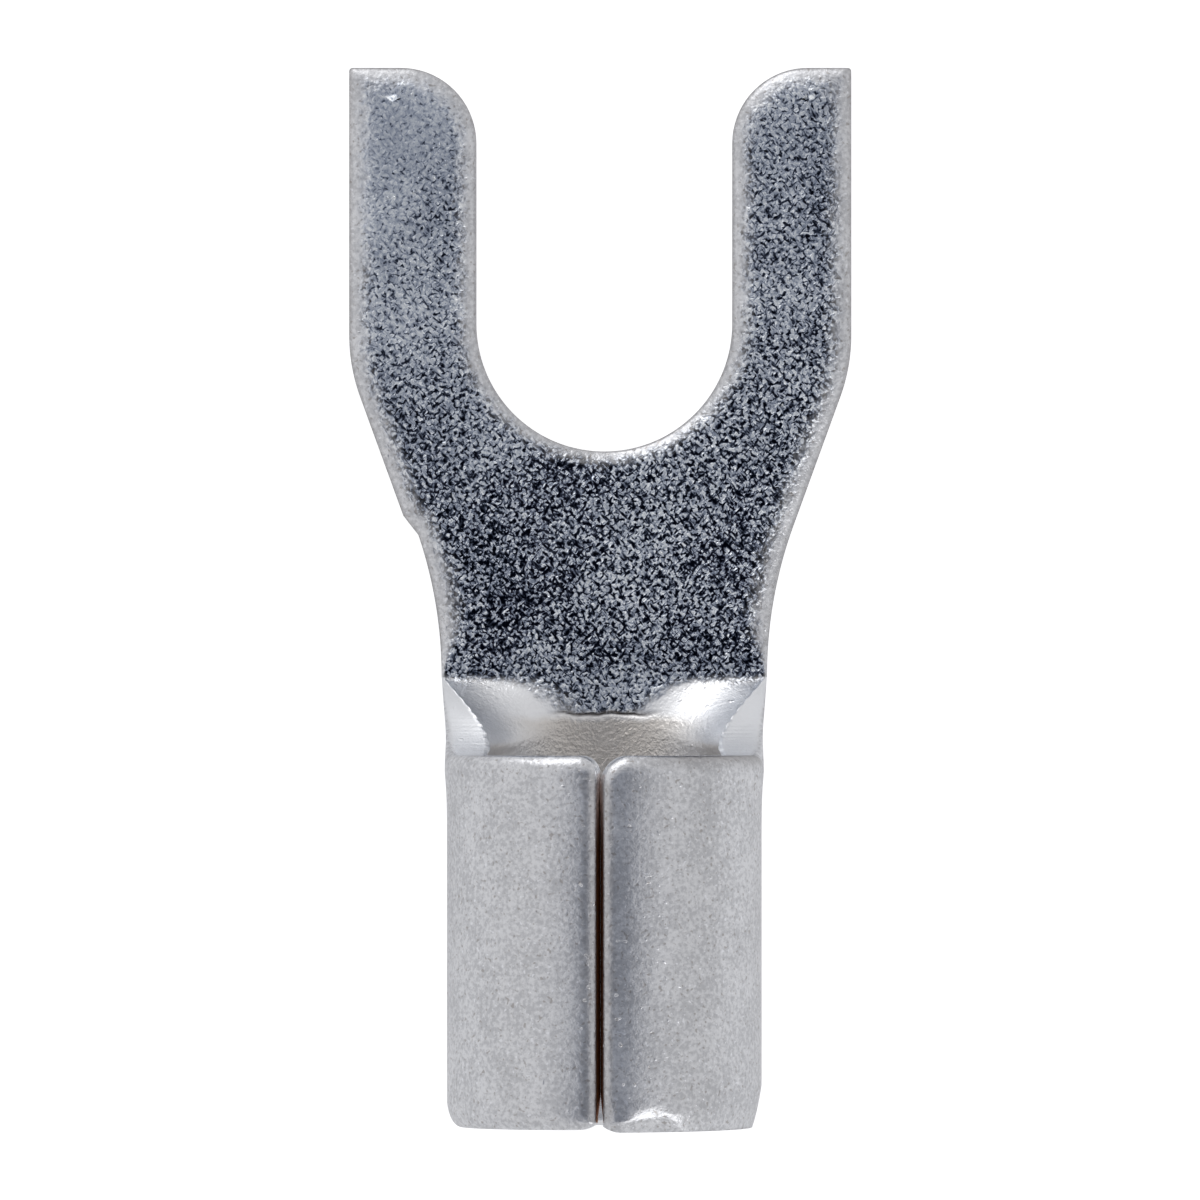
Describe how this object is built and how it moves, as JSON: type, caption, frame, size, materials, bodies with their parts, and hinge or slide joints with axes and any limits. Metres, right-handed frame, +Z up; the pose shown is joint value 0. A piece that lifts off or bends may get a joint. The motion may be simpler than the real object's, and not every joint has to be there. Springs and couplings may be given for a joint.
{
  "type": "fork terminal",
  "caption": "Bare fork terminal of tinned sheet copper: a flat forked tongue for a screw stud, a curled neck, and a rolled crimp barrel with an open butted seam for a stripped wire.",
  "frame": {"origin": "centre of the slot's round end, on the tongue's underside", "axes": "+Y along the tines to their tips, -Y along the barrel, +Z up out of the tongue towards the barrel's seam"},
  "size_m": [0.0087, 0.0183, 0.0054],
  "materials": {
    "tinned_copper": "dull silver-grey tin plating over copper"
  },
  "bodies": {
    "root": {"fork_terminal": "tinned_copper"}
  },
  "joints": []
}
